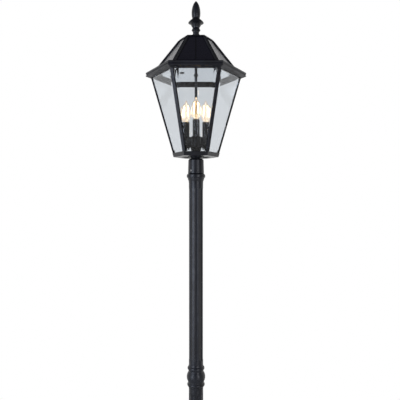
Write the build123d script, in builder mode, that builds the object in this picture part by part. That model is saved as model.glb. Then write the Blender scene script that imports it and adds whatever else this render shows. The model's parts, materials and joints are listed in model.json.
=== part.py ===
"""Hexagonal post-top lantern on a fluted, sectional street lamp post.

Millimetres, +Z up. The origin is the centre of the base's underside, on the ground.
The lantern has a corner on +X and on -X, so one pane and one roof panel face -Y.
"""

import os
from math import cos, hypot, pi, radians, sin, sqrt

from build123d import *

# ---------------------------------------------------------------- driving dimensions
SIDES = 6
CORNER = cos(pi / SIDES)            # apothem of a hexagon over its corner radius
GAP = 0.3                           # clearance between pieces that move apart

# post
base_radius = 125.0
base_height = 165.0
flange_height = 12.0
anchor_circle = 210.0
anchor_hole_radius = 5.5
post_radius = 25.0
post_wall = 3.5
coupling_low = 797.0
coupling_high = 881.0
collar_low = 1512.0
collar_high = 1547.7
tenon_radius = 24.0
tenon_top = 1580.0
spigot_length = 30.0
flute_count = 8
flute_depth = 2.0
flute_width = 13.0
flute_margin = 14.0                 # plain post between a section's end and its flutes
base_plain = 40.0                   # plain post above the base

# fitter and neck
fitter_low = 1548.0
fitter_shoulder = 1594.0
fitter_high = 1600.0
fitter_radius_low = 27.9
fitter_radius_high = 26.8
set_screw_height = 1557.0
set_screw_angle = 231.0             # azimuth of the first of three set screws
neck_radius = 28.0

# cage: an inverted hexagonal frustum, sizes at the corners
cage_low = 1605.0
cage_high = 1881.0
cage_radius_low = 77.3
cage_radius_high = 157.0
bar_height = 14.0                   # bottom bar of the cage
bar_overhang = 1.5                  # bottom bar outside the cage's planes, at the corners
frame_wall = 3.0
ledge_thickness = 3.0
ledge_radius = 54.0
pan_thickness = 3.0
pan_radius = 65.0
pan_screw_circle = 59.5             # radius on which the pan's screws lie
pan_screw_radius = 1.7
corner_width = 10.5                 # corner posts: flat bars that face outwards
corner_depth = 7.0
pane_thickness = 3.0
pane_recess = 0.4
pane_edge = 8.5                     # from a corner to a pane's edge, along the side
pane_bevel_width = 8.0
pane_bevel_depth = 0.7
clip_height = 9.0
clip_width = 17.0
clip_thickness = 1.2
clip_web = 4.0
clip_gap = 2.4                      # clip's plate behind the corner post

# ceiling and roof, sizes at the corners
ceiling_radius = 123.0
ceiling_height = 1891.0
top_frame_radius = 156.5
eave_radius = 176.0
eave_low = 1886.0
eave_high = 1901.0
roof_low = 1909.0
roof_high = 2016.5
roof_radius_low = 143.5
roof_radius_high = 57.2
roof_skin = 11.5                    # from a rib's face to the inside of the roof, level
rib_low = 1905.0
rib_width = 10.0
rib_depth = 10.5
panel_bed = 5.3                     # bed of the panels below the ribs' faces, square to the slope
panel_thickness = 2.6
panel_gap = 0.8
cap_band = 5.0
cap_overhang = 0.4
cap_peak = 2031.0

# rod, cluster and bulbs
rod_radius = 4.8
rod_bore = 3.0
rod_low = 1584.0
rod_high = 2056.0
nut_across_flats = 14.0
nut_height = 2.6
candle_count = 3
candle_circle = 40.0
candle_turn = -88.8                 # azimuth of the front candle
hub_radius = 16.0
hub_bell_radius = 33.0
cup_low = 1637.0
cup_high = 1672.0
cup_radius = 15.5
sleeve_radius = 12.0
sleeve_low = 1664.0
sleeve_high = 1730.0
socket_bore = 6.3
bulb_cap_radius = 5.95
bulb_cap_low = 1713.0
bulb_glass_low = 1729.0
bulb_radius = 17.5
bulb_tip = 1808.0
bulb_wall = 0.9
filament_circle = 9.5
filament_low = 1749.0
filament_high = 1785.0

# switch
switch_x = -48.0
switch_y = -33.0
bezel_radius = 8.3
bezel_thickness = 1.0
switch_neck = 6.0
switch_height = 12.0
button_radius = 5.0
button_travel = 1.4

os.makedirs("parts", exist_ok=True)


# ---------------------------------------------------------------- helpers
def save(shape, name):
    """Label a finished piece and write it under its node name."""
    shape.label = name
    export_step(shape, f"parts/{name}.step")


def polar(radius, azimuth, height=0.0):
    """Point at a radius, an azimuth in degrees and a height."""
    return (radius * cos(radians(azimuth)), radius * sin(radians(azimuth)), height)


def hexagon(height, radius):
    """Level hexagon with a corner on +X."""
    with BuildSketch(Plane.XY.offset(height)) as outline:
        RegularPolygon(radius, SIDES)
    return outline.sketch


def hex_stack(levels, mode=Mode.ADD):
    """Join the levels, each a height and a corner radius, by straight-sided hexagonal frusta."""
    for (low, radius_low), (high, radius_high) in zip(levels, levels[1:]):
        sections = [hexagon(low, radius_low), hexagon(high, radius_high)]
        loft(sections, ruled=True, mode=mode)


def turned(points, mode=Mode.ADD):
    """Turn a closed outline of (radius, height) points about the vertical axis."""
    with BuildSketch(Plane.XZ) as section:
        with BuildLine():
            Polyline(*points, close=True)
        make_face()
    revolve(section.sketch, axis=Axis.Z, mode=mode)


def rod(radius, low, high, x=0.0, y=0.0, mode=Mode.ADD):
    """Upright cylinder between two heights."""
    with BuildSketch(Plane.XY.offset(low)) as disc:
        with Locations((x, y)):
            Circle(radius)
    extrude(disc.sketch, high - low, mode=mode)


def side_plane(index, low, high, height, inset=0.0):
    """Plane on one side of a hexagonal frustum: X level, Y up the slope, Z outwards.

    low and high are (height, corner radius) pairs, and the origin lies on the side's
    middle line at the given height, moved inwards by the inset.
    """
    run = (high[1] - low[1]) * CORNER
    rise = high[0] - low[0]
    slant = hypot(run, rise)
    azimuth = 30 + 60 * index
    part_way = (height - low[0]) / rise
    middle = Vector(*polar(low[1] * CORNER + run * part_way, azimuth, height))
    outward = Vector(*polar(rise / slant, azimuth, -run / slant))
    level = Vector(*polar(1.0, azimuth + 90))
    return Plane(origin=middle - outward * inset, x_dir=level, z_dir=outward)


def slope_factor(low, high):
    """Length along a frustum's side over the height it spans."""
    return hypot((high[1] - low[1]) * CORNER, high[0] - low[0]) / (high[0] - low[0])


def inset_radius(radius, depth, slope):
    """Corner radius of the hexagon that lies a depth inside a frustum's sloping sides."""
    return radius - depth * slope / CORNER


def trapezoid(half_low, half_high, length, start=0.0):
    """Upright symmetrical trapezoid in the current sketch."""
    end = start + length
    Polygon((-half_low, start), (half_low, start), (half_high, end), (-half_high, end), align=None)


def corner_bars(low, high, width, depth, recess=0.0):
    """Six flat bars along a frustum's corners, between (height, corner radius) pairs."""
    ends = []
    for height, radius in (low, high):
        with BuildSketch(Plane.XY.offset(height)) as end:
            with Locations((radius - recess - depth / 2, 0)):
                Rectangle(depth, width)
        ends.append(end.sketch)
    bar = loft(ends, ruled=True, mode=Mode.PRIVATE)
    for index in range(SIDES):
        add(bar.rotate(Axis.Z, 60 * index))


# ---------------------------------------------------------------- post
flute_step = 360 / flute_count
bore_radius = post_radius - post_wall - flute_depth


def fluted_post(low, high, plain_low, turn):
    """Round tube with upright flutes that end in arches; turn is the first flute's azimuth."""
    half = flute_width / 2
    land = sqrt(post_radius**2 - half**2)
    floor = post_radius - flute_depth
    cutter = ((land - floor) ** 2 + half**2) / (2 * (land - floor))
    centre = floor + cutter
    arch = sqrt(cutter**2 - (centre - post_radius) ** 2)
    start = low + plain_low + arch
    end = high - flute_margin - arch
    with BuildPart() as tube:
        rod(post_radius, low, high)
        with BuildSketch(Plane.XZ) as groove:
            with BuildLine():
                Line((centre - cutter, start), (centre - cutter, end))
                RadiusArc((centre - cutter, end), (centre, end + cutter), cutter)
                Line((centre, end + cutter), (centre, start - cutter))
                RadiusArc((centre, start - cutter), (centre - cutter, start), cutter)
            make_face()
        finger = revolve(groove.sketch, axis=Axis((centre, 0, 0), (0, 0, 1)), mode=Mode.PRIVATE)
        for index in range(flute_count):
            add(finger.rotate(Axis.Z, turn + index * flute_step), mode=Mode.SUBTRACT)
        rod(bore_radius, low, high, mode=Mode.SUBTRACT)
    return tube.part


spigot_radius = bore_radius - 0.05

save(fluted_post(base_height, coupling_low, base_plain, flute_step / 2), "lower_post")
save(fluted_post(coupling_high, collar_low, flute_margin, 0.0), "upper_post")

with BuildPart() as base_casting:
    with BuildSketch(Plane.XZ) as bell:
        with BuildLine():
            Line((0, 0), (base_radius, 0))
            Line((base_radius, 0), (base_radius, flange_height - 3))
            RadiusArc((base_radius, flange_height - 3), (base_radius - 3, flange_height), -3)
            Line((base_radius - 3, flange_height), (88, flange_height))
            Line((88, flange_height), (86, 20))
            RadiusArc((86, 20), (80, 30), -9)
            Line((80, 30), (74, 32))
            RadiusArc((74, 32), (37, 118), 95)
            Line((37, 118), (37, 124))
            RadiusArc((37, 124), (37, 138), -7)
            Line((37, 138), (32, 141))
            RadiusArc((32, 141), (28, base_height), 38)
            Line((28, base_height), (0, base_height))
            Line((0, base_height), (0, 0))
        make_face()
    revolve(axis=Axis.Z)
    turned([(0, 0), (76, 0), (76, 14), (66, 24), (28, 100), (spigot_radius - 5, 130),
            (spigot_radius - 5, base_height), (0, base_height)], mode=Mode.SUBTRACT)
    turned([(spigot_radius - 5, base_height), (spigot_radius, base_height),
            (spigot_radius, base_height + spigot_length), (spigot_radius - 5, base_height + spigot_length)])
    with Locations((0, 0, flange_height)):
        with PolarLocations(anchor_circle / 2, 4, start_angle=45):
            Hole(anchor_hole_radius, depth=flange_height)
save(base_casting.part, "base_casting")

with BuildPart() as post_coupling:
    with BuildSketch(Plane.XZ) as ball_profile:
        with BuildLine():
            Polyline((spigot_radius - 4, coupling_low), (post_radius, coupling_low),
                     (post_radius + 1.5, coupling_low + 7), (post_radius + 4.5, coupling_low + 10))
            ThreePointArc((29.5, 807), (30.7, 811), (29.5, 815))
            Polyline((29.5, 815), (28.1, 817), (28.1, 822), (29, 824))
            ThreePointArc((29, 824), (32.3, 839), (27.6, 854))
            Polyline((27.6, 854), (26.3, 857), (26.3, 862), (28.6, 864))
            ThreePointArc((28.6, 864), (29.7, 868), (28.6, 872))
            Polyline((28.6, 872), (26.2, 875), (post_radius, coupling_high),
                     (spigot_radius - 4, coupling_high))
            Line((spigot_radius - 4, coupling_high), (spigot_radius - 4, coupling_low))
        make_face()
    revolve(axis=Axis.Z)
    for end, length in ((coupling_low, -spigot_length), (coupling_high, spigot_length)):
        turned([(spigot_radius - 4, end), (spigot_radius, end),
                (spigot_radius, end + length), (spigot_radius - 4, end + length)])
save(post_coupling.part, "post_coupling")

with BuildPart() as post_collar:
    turned([(spigot_radius - 4, collar_low - spigot_length), (spigot_radius, collar_low - spigot_length),
            (spigot_radius, collar_low), (post_radius, collar_low), (25.6, 1520), (28.2, 1528), (29.5, 1532.5),
            (32, 1534), (32.3, 1536), (32.3, 1541), (32, 1543), (30.5, 1545), (26.5, collar_high),
            (tenon_radius, collar_high), (tenon_radius, tenon_top - 2), (tenon_radius - 2, tenon_top),
            (tenon_radius - 5, tenon_top), (tenon_radius - 5, 1540), (spigot_radius - 4, 1520)])
save(post_collar.part, "post_collar")

# ---------------------------------------------------------------- fitter, neck and rod
screw_azimuths = [set_screw_angle + 120 * index for index in range(3)]
screw_planes = [Plane(origin=polar(0, 0, set_screw_height), x_dir=(0, 0, 1), z_dir=polar(1, azimuth))
                for azimuth in screw_azimuths]

with BuildPart() as fitter:
    turned([(tenon_radius + GAP, fitter_low), (fitter_radius_low, fitter_low),
            (fitter_radius_high, fitter_shoulder), (24.5, 1597.2), (20.5, 1599.3), (17, fitter_high),
            (rod_radius + 0.1, fitter_high), (rod_radius + 0.1, fitter_shoulder - 1),
            (21, fitter_shoulder - 1), (tenon_radius + GAP, fitter_shoulder - 4)])
    for plane in screw_planes:
        with BuildSketch(plane) as hole:
            Circle(3.0)
        extrude(hole.sketch, 32, mode=Mode.SUBTRACT)
save(fitter.part, "fitter")

with BuildPart() as fitter_set_screws:
    for plane in screw_planes:
        with BuildSketch(plane.offset(tenon_radius + 2 * GAP)) as shank:
            Circle(2.95)
        with BuildSketch(plane.offset(27.2)) as socket:
            RegularPolygon(1.6, SIDES)
        extrude(shank.sketch, 27.2 - tenon_radius - 2 * GAP)
        extrude(socket.sketch, -2.0, mode=Mode.SUBTRACT)
save(fitter_set_screws.part, "fitter_set_screws")

with BuildPart() as neck:
    turned([(rod_radius + 0.1, fitter_high), (17, fitter_high), (17.6, 1601.8), (20, 1603.6), (24, 1604.6),
            (neck_radius, 1605), (neck_radius, cage_low + ledge_thickness),
            (rod_radius + 0.1, cage_low + ledge_thickness)])
save(neck.part, "neck")

with BuildPart() as centre_rod:
    rod(rod_radius, rod_low, rod_high)
    rod(rod_bore, rod_low, rod_high, mode=Mode.SUBTRACT)
    top_edges = centre_rod.edges().filter_by(GeomType.CIRCLE).group_by(Axis.Z)[-1]
    chamfer(top_edges.sort_by(SortBy.RADIUS)[-1], 0.8)
save(centre_rod.part, "centre_rod")

with BuildPart() as rod_nuts:
    for low in (fitter_shoulder - 1 - nut_height, ceiling_height - GAP - nut_height):
        with BuildSketch(Plane.XY.offset(low)) as nut:
            RegularPolygon(nut_across_flats / 2, SIDES, major_radius=False)
            Circle(rod_radius, mode=Mode.SUBTRACT)
        extrude(nut.sketch, nut_height)
save(rod_nuts.part, "rod_nuts")

# ---------------------------------------------------------------- cage
cage_start = (cage_low, cage_radius_low)
cage_end = (cage_high, cage_radius_high)
cage_rate = (cage_radius_high - cage_radius_low) / (cage_high - cage_low)
cage_slope = slope_factor(cage_start, cage_end)


def cage_radius(height):
    """Corner radius of the cage's outer faces."""
    return cage_radius_low + cage_rate * (height - cage_low)


def frame_corner(height):
    """Corner radius of the inside of the bottom bar."""
    return inset_radius(cage_radius(height) + bar_overhang, frame_wall, cage_slope)


bar_high = cage_low + bar_height
ledge_high = cage_low + ledge_thickness
pan_high = ledge_high + pan_thickness
pan_screws_at = [polar(pan_screw_circle, 60 * index)[:2] for index in range(SIDES)]

with BuildPart() as bottom_frame:
    hex_stack([(cage_low, cage_radius_low + bar_overhang), (bar_high, cage_radius(bar_high) + bar_overhang)])
    inside = [(height, frame_corner(height)) for height in (ledge_high, bar_high)]
    hex_stack(inside, mode=Mode.SUBTRACT)
    hex_stack([(cage_low, ledge_radius), (ledge_high, ledge_radius)], mode=Mode.SUBTRACT)
    for x, y in pan_screws_at:
        rod(pan_screw_radius, cage_low, ledge_high, x, y, mode=Mode.SUBTRACT)
save(bottom_frame.part, "bottom_frame")

with BuildPart() as bottom_pan:
    hex_stack([(ledge_high, pan_radius), (pan_high, pan_radius)])
    rod(rod_radius + 0.1, ledge_high, pan_high, mode=Mode.SUBTRACT)
    for x, y in pan_screws_at:
        rod(pan_screw_radius, ledge_high, pan_high, x, y, mode=Mode.SUBTRACT)
save(bottom_pan.part, "bottom_pan")

with BuildPart() as pan_screws:
    for x, y in pan_screws_at:
        rod(pan_screw_radius - 0.05, cage_low + 0.5, pan_high, x, y)
        rod(3.2, pan_high, pan_high + 2, x, y)
save(pan_screws.part, "pan_screws")

with BuildPart() as corner_posts:
    corner_bars((bar_high, cage_radius(bar_high)), cage_end, corner_width, corner_depth)
save(corner_posts.part, "corner_posts")

pane_low = bar_high + 0.2
pane_high = cage_high - 1.2


def pane_half_width(height, trim=0.0):
    """Half the width of a pane at a height, clear of the corner posts."""
    return cage_radius(height) / 2 - pane_edge - trim


def glass_pane(index):
    """Bevelled trapezoid pane between two corner posts."""
    length = (pane_high - pane_low) * cage_slope
    bevel_rise = pane_bevel_width / cage_slope
    inner_plane = side_plane(index, cage_start, cage_end, pane_low, pane_recess + pane_thickness)
    edge_plane = inner_plane.offset(pane_thickness - pane_bevel_depth)
    with BuildPart() as pane:
        with BuildSketch(inner_plane) as sheet:
            trapezoid(pane_half_width(pane_low), pane_half_width(pane_high), length)
        extrude(sheet.sketch, pane_thickness - pane_bevel_depth)
        with BuildSketch(edge_plane) as full:
            trapezoid(pane_half_width(pane_low), pane_half_width(pane_high), length)
        with BuildSketch(inner_plane.offset(pane_thickness)) as field:
            trapezoid(pane_half_width(pane_low + bevel_rise, pane_bevel_width),
                      pane_half_width(pane_high - bevel_rise, pane_bevel_width),
                      length - 2 * pane_bevel_width, pane_bevel_width)
        loft([full.sketch, field.sketch], ruled=True)
    return pane.part


for index in range(SIDES):
    save(glass_pane(index), f"glass_pane_{index + 1}")

with BuildPart() as pane_clips:
    foot = (bar_high + 2, cage_radius(bar_high + 2))
    head = (foot[0] + clip_height, cage_radius(foot[0] + clip_height))
    corner_bars(foot, head, clip_web, clip_gap, recess=corner_depth)
    corner_bars(foot, head, clip_width, clip_thickness, recess=corner_depth + clip_gap)
save(pane_clips.part, "pane_clips")

frame_top = ceiling_height - GAP
with BuildPart() as top_frame:
    hex_stack([(cage_high, top_frame_radius), (1885.0, top_frame_radius)])
    hex_stack([(1885.0, 145.0), (frame_top, 132.0)])
    hex_stack([(cage_high, 149.0), (1882.5, 147.5)], mode=Mode.SUBTRACT)
    hex_stack([(1882.5, 143.0), (1885.0, 139.0)], mode=Mode.SUBTRACT)
    hex_stack([(1885.0, 134.0), (1888.0, 129.0)], mode=Mode.SUBTRACT)
    hex_stack([(1888.0, 125.5), (frame_top, ceiling_radius)], mode=Mode.SUBTRACT)
save(top_frame.part, "top_frame")

# ---------------------------------------------------------------- cluster
candle_step = 360 / candle_count
candles = [polar(candle_circle, candle_turn + candle_step * index)[:2] for index in range(candle_count)]

with BuildPart() as cluster_hub:
    with BuildSketch(Plane.XZ) as hub_profile:
        with BuildLine():
            Line((rod_radius + 0.1, pan_high), (hub_radius + 3, pan_high))
            RadiusArc((hub_radius + 3, pan_high), (hub_radius, pan_high + 5), 4.5)
            Line((hub_radius, pan_high + 5), (hub_radius, 1628))
            RadiusArc((hub_radius, 1628), (hub_bell_radius, 1650), 28)
            Line((hub_bell_radius, 1650), (hub_bell_radius, 1668))
            Polyline((hub_bell_radius, 1668), (29, 1673), (10, 1675), (rod_radius + 0.1, 1677),
                     (rod_radius + 0.1, pan_high))
        make_face()
    revolve(axis=Axis.Z)
    for x, y in candles:
        rod(cup_radius + 0.1, cup_low - 8, cup_high + 10, x, y, mode=Mode.SUBTRACT)
save(cluster_hub.part, "cluster_hub")


def turned_at_candles(points):
    """Turn the same outline about each candle's own axis."""
    with BuildSketch(Plane.XZ) as section:
        with BuildLine():
            Polyline(*points, close=True)
        make_face()
    piece = revolve(section.sketch, axis=Axis.Z, mode=Mode.PRIVATE)
    for x, y in candles:
        add(piece.moved(Location((x, y, 0))))


with BuildPart() as candle_cups:
    turned_at_candles([(3.6, cup_low), (9, cup_low), (12.5, cup_low + 1.5), (14.8, cup_low + 6),
                       (15.3, cup_low + 14), (cup_radius, cup_high - 4), (cup_radius, cup_high),
                       (sleeve_radius + 0.2, cup_high), (sleeve_radius + 0.2, sleeve_low), (3.6, sleeve_low)])
save(candle_cups.part, "candle_cups")

with BuildPart() as cup_nipples:
    turned_at_candles([(1.5, cup_low - 2.5), (4.5, cup_low - 2.5), (5.5, cup_low - 1.5), (5.5, cup_low),
                       (3.5, cup_low), (3.5, sleeve_low + 6), (1.5, sleeve_low + 6)])
save(cup_nipples.part, "cup_nipples")

with BuildPart() as candle_sleeves:
    turned_at_candles([(10.6, sleeve_low), (sleeve_radius, sleeve_low), (sleeve_radius, sleeve_high - 0.6),
                       (sleeve_radius - 0.6, sleeve_high), (10.6, sleeve_high)])
save(candle_sleeves.part, "candle_sleeves")

with BuildPart() as lamp_sockets:
    turned_at_candles([(3.6, sleeve_low), (10.4, sleeve_low), (10.4, sleeve_low + 4), (9.2, sleeve_low + 8),
                       (9.2, 1722), (8.2, 1724), (socket_bore, 1724), (socket_bore, bulb_cap_low - 2.6),
                       (3.6, bulb_cap_low - 2.6)])
save(lamp_sockets.part, "lamp_sockets")

with BuildPart() as lamp_lead:
    rod(2.2, 1640, 1905)
save(lamp_lead.part, "lamp_lead")


def at_candle(index):
    """Vertical plane through a candle's own axis."""
    x, y = candles[index]
    return Plane(origin=(x, y, 0), x_dir=(1, 0, 0), z_dir=(0, -1, 0))


def turned_about_candle(index, points):
    """Turn a closed outline of straight runs about a candle's own axis."""
    plane = at_candle(index)
    with BuildSketch(plane) as section:
        with BuildLine():
            Polyline(*points, close=True)
        make_face()
    revolve(section.sketch, axis=Axis(plane.origin, (0, 0, 1)))


def bulb_glass(index):
    """Hollow torpedo envelope, drawn outside and inside by the same curve."""
    plane = at_candle(index)
    axis = Axis(plane.origin, (0, 0, 1))
    with BuildPart() as glass:
        for wall, mode in ((0.0, Mode.ADD), (bulb_wall, Mode.SUBTRACT)):
            foot = bulb_glass_low + wall
            tip = bulb_tip - 2.5 * wall
            with BuildSketch(plane) as section:
                with BuildLine():
                    Line((0, foot), (5.6 - wall, foot))
                    Spline((5.6 - wall, foot), (9.2 - wall, foot + 5), (bulb_radius - wall, 1757),
                           (12.6 - wall, 1784), (3.2 - wall, tip - 5), tangents=[(0.3, 1), (-0.35, 1)])
                    Line((3.2 - wall, tip - 5), (0, tip))
                    Line((0, tip), (0, foot))
                make_face()
            revolve(section.sketch, axis=axis, mode=mode)
    return glass.part


for index in range(candle_count):
    x, y = candles[index]
    with BuildPart() as bulb_contact:
        turned_about_candle(index, [(0, bulb_cap_low - 2.2), (1.8, bulb_cap_low - 2.2),
                                    (2.4, bulb_cap_low - 1.4), (2.4, bulb_cap_low), (0, bulb_cap_low)])
    save(bulb_contact.part, f"bulb_contact_{index + 1}")
    with BuildPart() as bulb_cap:
        turned_about_candle(index, [(0, bulb_cap_low), (3.2, bulb_cap_low),
                                    (bulb_cap_radius, bulb_cap_low + 3),
                                    (bulb_cap_radius, bulb_glass_low), (0, bulb_glass_low)])
    save(bulb_cap.part, f"bulb_cap_{index + 1}")
    save(bulb_glass(index), f"bulb_glass_{index + 1}")
    with BuildPart() as filaments:
        for turn in range(4):
            fx, fy, _ = polar(filament_circle, 45 + 90 * turn)
            rod(0.9, filament_low, filament_high, x + fx, y + fy)
    save(filaments.part, f"bulb_filaments_{index + 1}")

# ---------------------------------------------------------------- roof
roof_start = (roof_low, roof_radius_low)
roof_end = (roof_high, roof_radius_high)
roof_rate = (roof_radius_high - roof_radius_low) / (roof_high - roof_low)
roof_slope = slope_factor(roof_start, roof_end)
band_low = roof_high - cap_band
attic_high = 2000.0                 # top of the hollow inside the roof


def roof_radius(height):
    """Corner radius of the roof's outer faces."""
    return roof_radius_low + roof_rate * (height - roof_low)


def bed_radius(height):
    """Corner radius of the bed that the panels lie on."""
    return inset_radius(roof_radius(height), panel_bed, roof_slope)


lip_low = cage_high + GAP
bed_start = (roof_low, bed_radius(roof_low))
bed_end = (band_low, bed_radius(band_low))

with BuildPart() as roof_frame:
    hex_stack([(lip_low, 160.0), (lip_low + 1.2, 162.0), (eave_low, 174.0), (eave_low + 1.5, eave_radius),
               (eave_low + 4.0, eave_radius), (eave_low + 5.0, eave_radius - 3),
               (eave_low + 6.5, eave_radius - 3), (eave_low + 7.5, eave_radius - 1),
               (eave_high - 2.0, eave_radius), (eave_high, eave_radius - 2), (eave_high + 2.5, 165.0),
               roof_start])
    hex_stack([bed_start, bed_end])
    corner_bars((rib_low, roof_radius(rib_low)), (band_low, roof_radius(band_low)), rib_width, rib_depth)
    hex_stack([(lip_low, 157.5), (ceiling_height + 1.8, 157.5)], mode=Mode.SUBTRACT)
    hex_stack([(ceiling_height + 1.8, 146.0), (ceiling_height + 5, 146.0),
               (roof_low, roof_radius(roof_low) - roof_skin),
               (attic_high, roof_radius(attic_high) - roof_skin)], mode=Mode.SUBTRACT)
    rod(rod_radius + GAP, attic_high - 5, roof_high, mode=Mode.SUBTRACT)
save(roof_frame.part, "roof_frame")


def solar_panel(index):
    """Flat trapezoid panel lying on its bed between two ribs."""
    low = roof_low + 1.5
    high = band_low - 2.0
    edge = rib_width / 2 / CORNER + panel_gap
    with BuildPart() as panel:
        with BuildSketch(side_plane(index, bed_start, bed_end, low)) as outline:
            trapezoid(bed_radius(low) / 2 - edge, bed_radius(high) / 2 - edge, (high - low) * roof_slope)
        extrude(outline.sketch, panel_thickness)
    return panel.part


for index in range(SIDES):
    save(solar_panel(index), f"solar_panel_{index + 1}")

with BuildPart() as top_cap:
    hex_stack([(band_low, roof_radius(band_low) + cap_overhang), (roof_high, roof_radius_high + cap_overhang),
               (roof_high + 1, 54.0), (roof_high + 6, 34.0), (roof_high + 11, 22.0)])
    rod(15, roof_high + 6, cap_peak)
    rod(rod_radius + GAP, band_low, cap_peak, mode=Mode.SUBTRACT)
save(top_cap.part, "top_cap")

plate_thickness = 1.5
plate_top = ceiling_height + plate_thickness
with BuildPart() as reflector_plate:
    hex_stack([(ceiling_height, 152.0), (plate_top, 152.0)])
    rod(rod_radius + GAP, ceiling_height, plate_top, mode=Mode.SUBTRACT)
    rod(switch_neck + 0.1, ceiling_height, plate_top, switch_x, switch_y, mode=Mode.SUBTRACT)
save(reflector_plate.part, "reflector_plate")

with BuildPart() as battery_pack:
    with BuildSketch(Plane.XY.offset(plate_top)) as case:
        with Locations((56, 0)):
            RectangleRounded(40, 74, 3)
    extrude(case.sketch, 20)
    fillet(battery_pack.edges().group_by(Axis.Z)[-1], 2)
save(battery_pack.part, "battery_pack")

board_corners = [(x, y) for x in (-78, -26) for y in (6, 46)]
with BuildPart() as board_standoffs:
    for x, y in board_corners:
        rod(3, plate_top, plate_top + 6, x, y)
save(board_standoffs.part, "board_standoffs")

components = [(-60, 30, 12, 12, 2), (-40, 18, 8, 14, 9), (-66, 12, 6, 6, 8), (-38, 38, 10, 8, 5)]
with BuildPart() as control_board:
    with BuildSketch(Plane.XY.offset(plate_top + 6)) as board:
        with Locations((-52, 26)):
            Rectangle(60, 48)
    extrude(board.sketch, 1.6)
    for x, y, width, depth, height in components:
        with BuildSketch(Plane.XY.offset(plate_top + 7.6)) as component:
            with Locations((x, y)):
                Rectangle(width, depth)
        extrude(component.sketch, height)
save(control_board.part, "control_board")

bezel_low = ceiling_height - bezel_thickness
button_low = bezel_low - button_travel
switch_bore_high = plate_top + switch_height - 3
with BuildPart() as switch_body:
    rod(bezel_radius, bezel_low, ceiling_height, switch_x, switch_y)
    rod(switch_neck, ceiling_height, plate_top, switch_x, switch_y)
    rod(bezel_radius, plate_top, plate_top + switch_height, switch_x, switch_y)
    rod(button_radius + GAP, bezel_low, switch_bore_high, switch_x, switch_y, mode=Mode.SUBTRACT)
save(switch_body.part, "switch_body")

with BuildPart() as switch_button:
    rod(button_radius, button_low, switch_bore_high - button_travel - 1, switch_x, switch_y)
    fillet(switch_button.edges().group_by(Axis.Z)[0], 0.6)
save(switch_button.part, "switch_button")

# ---------------------------------------------------------------- finial
washer_low = cap_peak + GAP
finial_low = washer_low + 2.0
with BuildPart() as finial_washer:
    rod(13, washer_low, finial_low)
    rod(rod_radius + GAP, washer_low, finial_low, mode=Mode.SUBTRACT)
save(finial_washer.part, "finial_washer")

with BuildPart() as finial:
    with BuildSketch(Plane.XZ) as finial_profile:
        with BuildLine():
            Line((0, finial_low), (11, finial_low))
            Line((11, finial_low), (11, 2041))
            Spline((11, 2041), (15.2, 2048), (12.6, 2054.5), (13.4, 2060), (17, 2066), (27, 2074.5),
                   tangents=[(0, 1), (1, 0.45)])
            Spline((27, 2074.5), (21, 2082), (14.2, 2088), (13.2, 2092.5), tangents=[(-0.5, 1), (0, 1)])
            Spline((13.2, 2092.5), (15.4, 2109), (12.4, 2131), (6.5, 2144.5), (0, 2151.5),
                   tangents=[(0.35, 1), (-1, 0.7)])
            Line((0, 2151.5), (0, finial_low))
        make_face()
    revolve(axis=Axis.Z)
    rod(rod_radius + GAP, finial_low, rod_high + 4, mode=Mode.SUBTRACT)
save(finial.part, "finial")
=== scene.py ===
"""Looks of a hexagonal post lantern on a fluted post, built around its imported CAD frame.

Metres, +Z up. The front pane faces -Y, towards the camera.
"""

import json
import math

import bmesh
import bpy
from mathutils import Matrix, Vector


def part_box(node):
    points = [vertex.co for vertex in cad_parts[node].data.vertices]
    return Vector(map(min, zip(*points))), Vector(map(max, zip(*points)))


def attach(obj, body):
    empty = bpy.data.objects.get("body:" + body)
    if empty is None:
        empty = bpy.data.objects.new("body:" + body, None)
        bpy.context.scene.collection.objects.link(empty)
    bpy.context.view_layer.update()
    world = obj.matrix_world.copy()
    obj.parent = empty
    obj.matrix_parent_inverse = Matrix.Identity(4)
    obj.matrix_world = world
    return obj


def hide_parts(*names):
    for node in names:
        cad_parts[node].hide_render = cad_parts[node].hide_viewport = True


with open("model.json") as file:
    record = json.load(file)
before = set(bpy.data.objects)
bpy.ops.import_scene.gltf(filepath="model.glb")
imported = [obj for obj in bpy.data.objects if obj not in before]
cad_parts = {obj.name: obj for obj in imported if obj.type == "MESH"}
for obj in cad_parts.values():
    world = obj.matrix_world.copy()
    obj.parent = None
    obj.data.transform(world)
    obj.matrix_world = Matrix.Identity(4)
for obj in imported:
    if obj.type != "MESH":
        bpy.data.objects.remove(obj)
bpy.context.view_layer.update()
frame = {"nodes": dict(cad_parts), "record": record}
nodes = frame["nodes"]

MM = 0.001
SIDES = 6
BULBS = (1, 2, 3)

CAMERA_PLACE = (0.014, -1.677, 1.455)
CAMERA_LENS = 43.1
FLOOR_RADIUS = 1.6

# white surround, by the direction looked in: Y runs from front to back, Z from below to overhead
WALL_FADE_Y = (-0.45, 0.15)
OVERHEAD_FADE_Z = (0.55, 0.8)
GROUND_FADE_Z = (-0.25, -0.05)
GROUND_LIGHT = 0.4
LEAST_LIGHT = 0.06

WARM = (1.0, 0.62, 0.26)            # colour of the lit bulbs
COAT_SPECULAR = 0.33
NOISE_MIDDLE = (0.3, 0.7)           # range that holds most values of a noise
GRAIN_HEIGHT = 0.00006              # grain of coats and plastics
GLASS_WAVE_HEIGHT = 0.0004

# glass stem of a bulb, the mast on it and the wires that hold the sticks
STEM_INSET = 1.5 * MM
STEM_TOP = 1.7450
STEM_RADIUS_LOW, STEM_RADIUS_HIGH = 4.5 * MM, 2.2 * MM
MAST_ABOVE_STICKS = 2 * MM
MAST_RADIUS = 0.35 * MM
WIRE_RADIUS = 0.25 * MM

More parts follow.
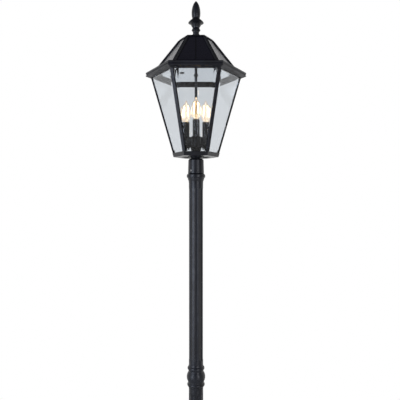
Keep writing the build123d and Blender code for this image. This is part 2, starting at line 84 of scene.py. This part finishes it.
# lit sticks of a bulb: a ring of them, nearer together at the top
STICKS = 4
FIRST_STICK = 45                    # degrees
STICK_RADIUS = 1.15 * MM
STICK_LOW, STICK_HIGH = 1.7500, 1.7870
STICK_RING_LOW, STICK_RING_HIGH = 11.5 * MM, 8.5 * MM
STICK_END_LENGTH = 1.8 * MM
STICK_END_RADIUS = STICK_RADIUS * 0.8

# trim of a solar panel
BUSBAR_WIDTH = 3.0 * MM
CELL_ROWS = 16
CELL_LINE = 0.3 * MM
CELL_MARGIN = 2.5 * MM
PRINT_THICKNESS = 0.05 * MM
LEAST_UPWARD = 0.1                  # upward part of the normal of a face that looks up
FACE_TOLERANCE = 0.1 * MM

# rounded edges of the frames
EDGE_WIDTH = 0.7 * MM
EDGE_SEGMENTS = 2
EDGE_ANGLE = math.radians(28)


# ---------------------------------------------------------------- camera, floor, light
def link(obj):
    """Put a new object into the scene."""
    bpy.context.scene.collection.objects.link(obj)
    return obj


def make_camera():
    """Level camera in front of the lantern."""
    data = bpy.data.cameras.new("camera")
    data.lens = CAMERA_LENS
    data.sensor_width = 36.0
    camera = link(bpy.data.objects.new("camera", data))
    camera.location = CAMERA_PLACE
    camera.rotation_euler = (math.radians(90), 0, 0)
    bpy.context.scene.camera = camera


def make_floor():
    """Round pale floor, small enough to stay below the main view."""
    mesh = bpy.data.meshes.new("floor")
    form = bmesh.new()
    bmesh.ops.create_circle(form, cap_ends=True, radius=FLOOR_RADIUS, segments=128)
    form.to_mesh(mesh)
    form.free()
    floor = link(bpy.data.objects.new("floor", mesh))
    material = bpy.data.materials.new("floor")
    material.use_nodes = True
    shader = material.node_tree.nodes["Principled BSDF"]
    shader.inputs["Base Color"].default_value = (0.82, 0.82, 0.82, 1)
    shader.inputs["Roughness"].default_value = 0.7
    mesh.materials.append(material)


def softbox(name, azimuth, distance, height, size, power, colour):
    """Area light that faces the lantern; azimuth 0 is in front, positive to the right."""
    data = bpy.data.lights.new(name, "AREA")
    data.shape = "RECTANGLE"
    data.size, data.size_y = size
    data.energy = power
    data.color = colour
    light = link(bpy.data.objects.new(name, data))
    turn = math.radians(azimuth)
    light.location = (distance * math.sin(turn), -distance * math.cos(turn), height)
    aim = Vector((0, 0, height)) - light.location
    light.rotation_euler = aim.to_track_quat("-Z", "Y").to_euler()
    light.visible_camera = False


def map_range(tree, value, low, high, out_low, out_high):
    """Smooth step of a value between two limits."""
    step = tree.nodes.new("ShaderNodeMapRange")
    step.interpolation_type = "SMOOTHSTEP"
    step.inputs["From Min"].default_value = low
    step.inputs["From Max"].default_value = high
    step.inputs["To Min"].default_value = out_low
    step.inputs["To Max"].default_value = out_high
    tree.links.new(value, step.inputs["Value"])
    return step.outputs["Result"]


def arithmetic(tree, operation, first, second):
    """One math node with linked or constant inputs."""
    node = tree.nodes.new("ShaderNodeMath")
    node.operation = operation
    for socket, value in zip(node.inputs, (first, second)):
        if isinstance(value, (int, float)):
            socket.default_value = value
        else:
            tree.links.new(value, socket)
    return node.outputs["Value"]


def make_world():
    """White behind the object, dimmer below its front, nearly dark in front and overhead.

    The camera itself sees white all round.
    """
    world = bpy.data.worlds.new("studio")
    bpy.context.scene.world = world
    world.use_nodes = True
    tree = world.node_tree
    background = tree.nodes["Background"]
    coords = tree.nodes.new("ShaderNodeTexCoord")
    split = tree.nodes.new("ShaderNodeSeparateXYZ")
    tree.links.new(coords.outputs["Generated"], split.inputs["Vector"])
    behind = map_range(tree, split.outputs["Y"], *WALL_FADE_Y, 0.0, 1.0)
    under = map_range(tree, split.outputs["Z"], *OVERHEAD_FADE_Z, 1.0, 0.0)
    wall = arithmetic(tree, "MULTIPLY", behind, under)
    ground = map_range(tree, split.outputs["Z"], *GROUND_FADE_Z, GROUND_LIGHT, 0.0)
    sweep = arithmetic(tree, "MAXIMUM", wall, ground)
    surround = arithmetic(tree, "MAXIMUM", sweep, LEAST_LIGHT)
    paths = tree.nodes.new("ShaderNodeLightPath")
    seen = arithmetic(tree, "MAXIMUM", surround, paths.outputs["Is Camera Ray"])
    tree.links.new(seen, background.inputs["Strength"])
    background.inputs["Color"].default_value = (1, 1, 1, 1)


bpy.context.scene.view_settings.view_transform = "Standard"
make_camera()
make_floor()
make_world()
softbox("softbox_left", azimuth=-46, distance=2.6, height=1.5, size=(0.9, 2.6), power=62,
        colour=(0.76, 0.84, 1.0))
softbox("softbox_right", azimuth=30, distance=2.8, height=1.5, size=(0.7, 2.6), power=36,
        colour=(0.90, 0.92, 1.0))


# ---------------------------------------------------------------- materials
def new_material(name):
    """Node material with its tree and its shader."""
    material = bpy.data.materials.new(name)
    material.use_nodes = True
    return material, material.node_tree, material.node_tree.nodes["Principled BSDF"]


def noise(tree, scale, detail):
    """Noise in the object's own metres."""
    coords = tree.nodes.new("ShaderNodeTexCoord")
    texture = tree.nodes.new("ShaderNodeTexNoise")
    texture.inputs["Scale"].default_value = scale
    texture.inputs["Detail"].default_value = detail
    tree.links.new(coords.outputs["Object"], texture.inputs["Vector"])
    return texture.outputs["Fac"]


def blend_colours(tree, factor, first, second):
    """Colour between two colours by a factor."""
    mix = tree.nodes.new("ShaderNodeMix")
    mix.data_type = "RGBA"
    mix.inputs["A"].default_value = (*first, 1)
    mix.inputs["B"].default_value = (*second, 1)
    tree.links.new(factor, mix.inputs["Factor"])
    return mix.outputs["Result"]


def set_tone(tree, shader, factor, dark, light):
    """Base colour between two colours by a factor."""
    tree.links.new(blend_colours(tree, factor, dark, light), shader.inputs["Base Color"])


def set_roughness(tree, shader, factor, limits, rough_low, rough_high):
    """Roughness between two values, as a factor runs between its limits."""
    rough = map_range(tree, factor, *limits, rough_low, rough_high)
    tree.links.new(rough, shader.inputs["Roughness"])


def add_bump(tree, shader, height, strength, distance):
    """Bump from a height, in metres."""
    bump = tree.nodes.new("ShaderNodeBump")
    bump.inputs["Strength"].default_value = strength
    bump.inputs["Distance"].default_value = distance
    tree.links.new(height, bump.inputs["Height"])
    tree.links.new(bump.outputs["Normal"], shader.inputs["Normal"])


def powder_coat(name, dark, light, rough_low, rough_high, grain=700, specular=COAT_SPECULAR):
    """Satin powder coat: fine orange peel, faint patches of tone and gloss."""
    material, tree, shader = new_material(name)
    shader.inputs["Specular IOR Level"].default_value = specular
    patches = map_range(tree, noise(tree, scale=18, detail=4), 0.35, 0.65, 0, 1)
    set_tone(tree, shader, patches, dark, light)
    gloss = noise(tree, scale=60, detail=3)
    set_roughness(tree, shader, gloss, NOISE_MIDDLE, rough_low, rough_high)
    peel = noise(tree, scale=grain, detail=2)
    add_bump(tree, shader, peel, strength=0.06, distance=GRAIN_HEIGHT)
    return material


def metal(name, dark, light, rough_low, rough_high, scale=90):
    """Bare or plated metal with slight tarnish."""
    material, tree, shader = new_material(name)
    shader.inputs["Metallic"].default_value = 1.0
    patches = noise(tree, scale, detail=4)
    set_tone(tree, shader, patches, dark, light)
    set_roughness(tree, shader, patches, NOISE_MIDDLE, rough_low, rough_high)
    return material


def plastic(name, dark, light, rough_low, rough_high):
    """Moulded plastic with a fine grain."""
    material, tree, shader = new_material(name)
    patches = noise(tree, scale=70, detail=3)
    set_tone(tree, shader, patches, dark, light)
    set_roughness(tree, shader, patches, NOISE_MIDDLE, rough_low, rough_high)
    grain = noise(tree, scale=1500, detail=2)
    add_bump(tree, shader, grain, strength=0.15, distance=GRAIN_HEIGHT)
    return material


def glass(name, tint_low, tint_high, waviness, glow=0.0):
    """Clear glass with faint waves and a little dust; a lit bulb's glass gets a faint warm painted
    glow, standing for the halo round its sticks.
    """
    material, tree, shader = new_material(name)
    shader.inputs["Transmission Weight"].default_value = 1.0
    shader.inputs["IOR"].default_value = 1.45
    shader.inputs["Emission Color"].default_value = (*WARM, 1)
    shader.inputs["Emission Strength"].default_value = glow
    dust = noise(tree, scale=25, detail=5)
    set_tone(tree, shader, dust, tint_low, tint_high)
    set_roughness(tree, shader, dust, (0.45, 0.8), 0.0, 0.02)
    waves = noise(tree, scale=22, detail=1)
    add_bump(tree, shader, waves, strength=waviness, distance=GLASS_WAVE_HEIGHT)
    return material


def solar_cells(name, dark, light):
    """Smooth laminate over blue-black cells, slightly uneven in tone and gloss."""
    material, tree, shader = new_material(name)
    shader.inputs["Specular Tint"].default_value = (0.95, 0.91, 1.0, 1)
    patches = noise(tree, scale=30, detail=4)
    set_tone(tree, shader, patches, dark, light)
    set_roughness(tree, shader, patches, NOISE_MIDDLE, 0.24, 0.30)
    return material


def glowing(name, core, strength):
    """Phosphor of a lit filament, slightly uneven along its length."""
    material, tree, shader = new_material(name)
    shader.inputs["Roughness"].default_value = 0.6
    shader.inputs["Base Color"].default_value = (*core, 1)
    beads = noise(tree, scale=500, detail=2)
    tree.links.new(blend_colours(tree, beads, core, WARM), shader.inputs["Emission Color"])
    shader.inputs["Emission Strength"].default_value = strength
    return material


BLACK_DARK, BLACK_LIGHT = (0.0060, 0.0061, 0.0080), (0.0090, 0.0096, 0.0132)
finishes = {
    "cast_black": powder_coat("cast_black", BLACK_DARK, BLACK_LIGHT, 0.34, 0.44),
    "tube_black": powder_coat("tube_black", BLACK_DARK, BLACK_LIGHT, 0.36, 0.44),
    "frame_black": powder_coat("frame_black", BLACK_DARK, BLACK_LIGHT, 0.26, 0.36, grain=900),
    "pane": glass("pane", (0.77, 0.795, 0.82), (0.79, 0.81, 0.83), 0.02),
    "solar_cell": solar_cells("solar_cell", (0.008, 0.008, 0.012), (0.011, 0.010, 0.016)),
    "reflector": metal("reflector", (0.82, 0.85, 0.88), (0.86, 0.88, 0.90), 0.04, 0.09, 14),
    "steel": metal("steel", (0.45, 0.44, 0.42), (0.62, 0.62, 0.6), 0.28, 0.42),
    "rod_black": powder_coat("rod_black", BLACK_DARK, BLACK_LIGHT, 0.3, 0.4, grain=1200),
    "sleeve": plastic("sleeve", (0.010, 0.010, 0.011), (0.015, 0.015, 0.016), 0.16, 0.22),
    "socket": plastic("socket", (0.03, 0.028, 0.026), (0.045, 0.042, 0.04), 0.5, 0.6),
    # painted glow: the bulb glass emits faintly in place of the halo round the lit sticks
    "bulb_glass": glass("bulb_glass", (0.97, 0.97, 0.965), (0.985, 0.985, 0.98), 0.01, 0.12),
    "bulb_cap": metal("bulb_cap", (0.6, 0.58, 0.53), (0.72, 0.7, 0.66), 0.2, 0.34),
    "contact": metal("contact", (0.5, 0.4, 0.22), (0.66, 0.55, 0.32), 0.3, 0.45),
    "filament": glowing("filament", (1.0, 0.76, 0.42), 14.0),
    "battery": plastic("battery", (0.02, 0.05, 0.16), (0.03, 0.07, 0.2), 0.3, 0.4),
    "board": plastic("board", (0.01, 0.09, 0.035), (0.02, 0.13, 0.05), 0.35, 0.5),
    "switch": plastic("switch", (0.008, 0.008, 0.008), (0.014, 0.014, 0.014), 0.35, 0.5),
    "lead": plastic("lead", (0.012, 0.012, 0.012), (0.02, 0.02, 0.02), 0.5, 0.6),
}

# a few nodes look different from the rest of their slot; the cluster hub, cups and nipples are
# painted darker, with weaker specular, as painted shade inside the lantern
dark_steel = metal("dark_steel", (0.03, 0.03, 0.033), (0.06, 0.06, 0.063), 0.3, 0.42)
# painted shade: a darker black than the cast parts, for the cluster that sits in shade inside the
# glass
inner_painted_shade = powder_coat("inner_painted_shade", (0.003, 0.003, 0.0035), (0.005, 0.005, 0.006), 0.4, 0.5,
                          specular=0.12)
variants = {
    "top_frame": powder_coat("trim_black", BLACK_DARK, BLACK_LIGHT, 0.14, 0.20, grain=900),
    "cluster_hub": inner_painted_shade,
    "candle_cups": inner_painted_shade,
    "cup_nipples": inner_painted_shade,
    "pane_clips": dark_steel,
    "pan_screws": dark_steel,
}
slot_of = {part["node"]: part["material_slot"] for part in frame["record"]["subparts"]}
for name, obj in nodes.items():
    obj.data.materials.clear()
    obj.data.materials.append(variants.get(name, finishes[slot_of[name]]))


# ---------------------------------------------------------------- pieces
def make_piece(name, form, body, slot, finish=None):
    """Object from a bmesh that rides on a body, in a slot's finish or a variant of it."""
    mesh = bpy.data.meshes.new(name)
    form.to_mesh(mesh)
    form.free()
    mesh.materials.append(finish or finishes[slot])
    piece = link(bpy.data.objects.new(name, mesh))
    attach(piece, body)
    return piece


def add_tube(form, start, end, radius_start, radius_end=None, segments=16):
    """Round bar or cone between two points."""
    run = end - start
    turn = run.to_track_quat("Z", "Y").to_matrix().to_4x4()
    turn.translation = (start + end) / 2
    bmesh.ops.create_cone(form, cap_ends=True, segments=segments, radius1=radius_start,
                          radius2=radius_start if radius_end is None else radius_end,
                          depth=run.length, matrix=turn)


def add_strip(form, start, end, width, normal, thickness):
    """Flat strip that lies on a surface, along a line on it."""
    side = (end - start).normalized().cross(normal) * (width / 2)
    foot = [start - side, start + side, end + side, end - side]
    base = [form.verts.new(point) for point in foot]
    top = [form.verts.new(point + normal * thickness) for point in foot]
    form.faces.new(base)
    form.faces.new(reversed(top))
    for here in range(4):
        there = (here + 1) % 4
        form.faces.new((base[here], top[here], top[there], base[there]))


def on_ring(centre, radius, turn, height):
    """Point on a level ring about an upright axis."""
    return Vector((centre.x + radius * math.cos(turn), centre.y + radius * math.sin(turn), height))


def make_bulb_inside(index):
    """Glass stem, support wires and slanted glowing sticks of one bulb."""
    low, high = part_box(f"bulb_glass_{index}")
    centre = (Vector(low) + Vector(high)) / 2
    foot = Vector((centre.x, centre.y, low[2] + STEM_INSET))
    neck = Vector((centre.x, centre.y, STEM_TOP))
    crown = Vector((centre.x, centre.y, STICK_HIGH + MAST_ABOVE_STICKS))

    stem = bmesh.new()
    add_tube(stem, foot, neck, STEM_RADIUS_LOW, STEM_RADIUS_HIGH, segments=24)
    make_piece(f"bulb_stem_{index}", stem, f"bulb_{index}", "bulb_glass")

    wires = bmesh.new()
    sticks = bmesh.new()
    ends = bmesh.new()
    add_tube(wires, neck, crown, MAST_RADIUS, segments=10)
    for stick in range(STICKS):
        turn = math.radians(FIRST_STICK + 360 / STICKS * stick)
        bottom = on_ring(centre, STICK_RING_LOW, turn, STICK_LOW)
        top = on_ring(centre, STICK_RING_HIGH, turn, STICK_HIGH)
        along = (top - bottom).normalized() * STICK_END_LENGTH
        add_tube(sticks, bottom, top, STICK_RADIUS)
        add_tube(ends, bottom - along, bottom, STICK_END_RADIUS)
        add_tube(ends, top, top + along, STICK_END_RADIUS)
        add_tube(wires, neck, bottom - along, WIRE_RADIUS, segments=8)
        add_tube(wires, crown, top + along, WIRE_RADIUS, segments=8)
    glow = make_piece(f"bulb_sticks_{index}", sticks, f"bulb_{index}", "filament")
    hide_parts(f"bulb_filaments_{index}")
    make_piece(f"bulb_stick_ends_{index}", ends, f"bulb_{index}", "bulb_cap")
    make_piece(f"bulb_wires_{index}", wires, f"bulb_{index}", "bulb_cap")


def outer_face(obj):
    """Outward normal and the corners, low pair then high pair, of a sloping flat panel."""
    facing_up = [face for face in obj.data.polygons if face.normal.z > LEAST_UPWARD]
    largest = max(facing_up, key=lambda face: face.area)
    normal = largest.normal.copy()
    level = Vector((0, 0, 1)).cross(normal).normalized()
    points = [vertex.co.copy() for vertex in obj.data.vertices]
    outermost = max(point.dot(normal) for point in points)
    on_face = [point for point in points if point.dot(normal) > outermost - FACE_TOLERANCE]
    middle = (min(point.z for point in on_face) + max(point.z for point in on_face)) / 2
    pairs = []
    for pair in ([p for p in on_face if p.z < middle], [p for p in on_face if p.z > middle]):
        pairs.append((min(pair, key=level.dot), max(pair, key=level.dot)))
    return normal, pairs


def make_panel_trim(index):
    """Middle busbar and fine level conductors printed on one solar panel."""
    normal, (low_pair, high_pair) = outer_face(nodes[f"solar_panel_{index}"])
    low_left, low_right = low_pair
    high_left, high_right = high_pair
    busbar = bmesh.new()
    add_strip(busbar, (low_left + low_right) / 2, (high_left + high_right) / 2, BUSBAR_WIDTH,
              normal, PRINT_THICKNESS * 2)
    make_piece(f"panel_busbar_{index}", busbar, "roof", "solar_cell", busbar_finish)
    fingers = bmesh.new()
    for row in range(1, CELL_ROWS):
        share = row / CELL_ROWS
        left = low_left.lerp(high_left, share)
        right = low_right.lerp(high_right, share)
        inset = (right - left).normalized() * CELL_MARGIN
        add_strip(fingers, left + inset, right - inset, CELL_LINE, normal, PRINT_THICKNESS)
    make_piece(f"panel_fingers_{index}", fingers, "roof", "solar_cell", finger_finish)


busbar_finish = solar_cells("busbar", (0.002, 0.002, 0.003), (0.004, 0.004, 0.005))
finger_finish = solar_cells("fingers", (0.014, 0.014, 0.018), (0.02, 0.02, 0.024))
for number in BULBS:
    make_bulb_inside(number)
for number in range(1, SIDES + 1):
    make_panel_trim(number)


# ---------------------------------------------------------------- edges
def soften(name):
    """Round off the crisp edges of a CAD node that stays."""
    bevel = nodes[name].modifiers.new("soft_edges", "BEVEL")
    bevel.width = EDGE_WIDTH
    bevel.segments = EDGE_SEGMENTS
    bevel.limit_method = "ANGLE"
    bevel.angle_limit = EDGE_ANGLE
    bevel.use_clamp_overlap = True
    bevel.harden_normals = True


for name in ("roof_frame", "top_cap", "bottom_frame", "top_frame", "corner_posts"):
    soften(name)
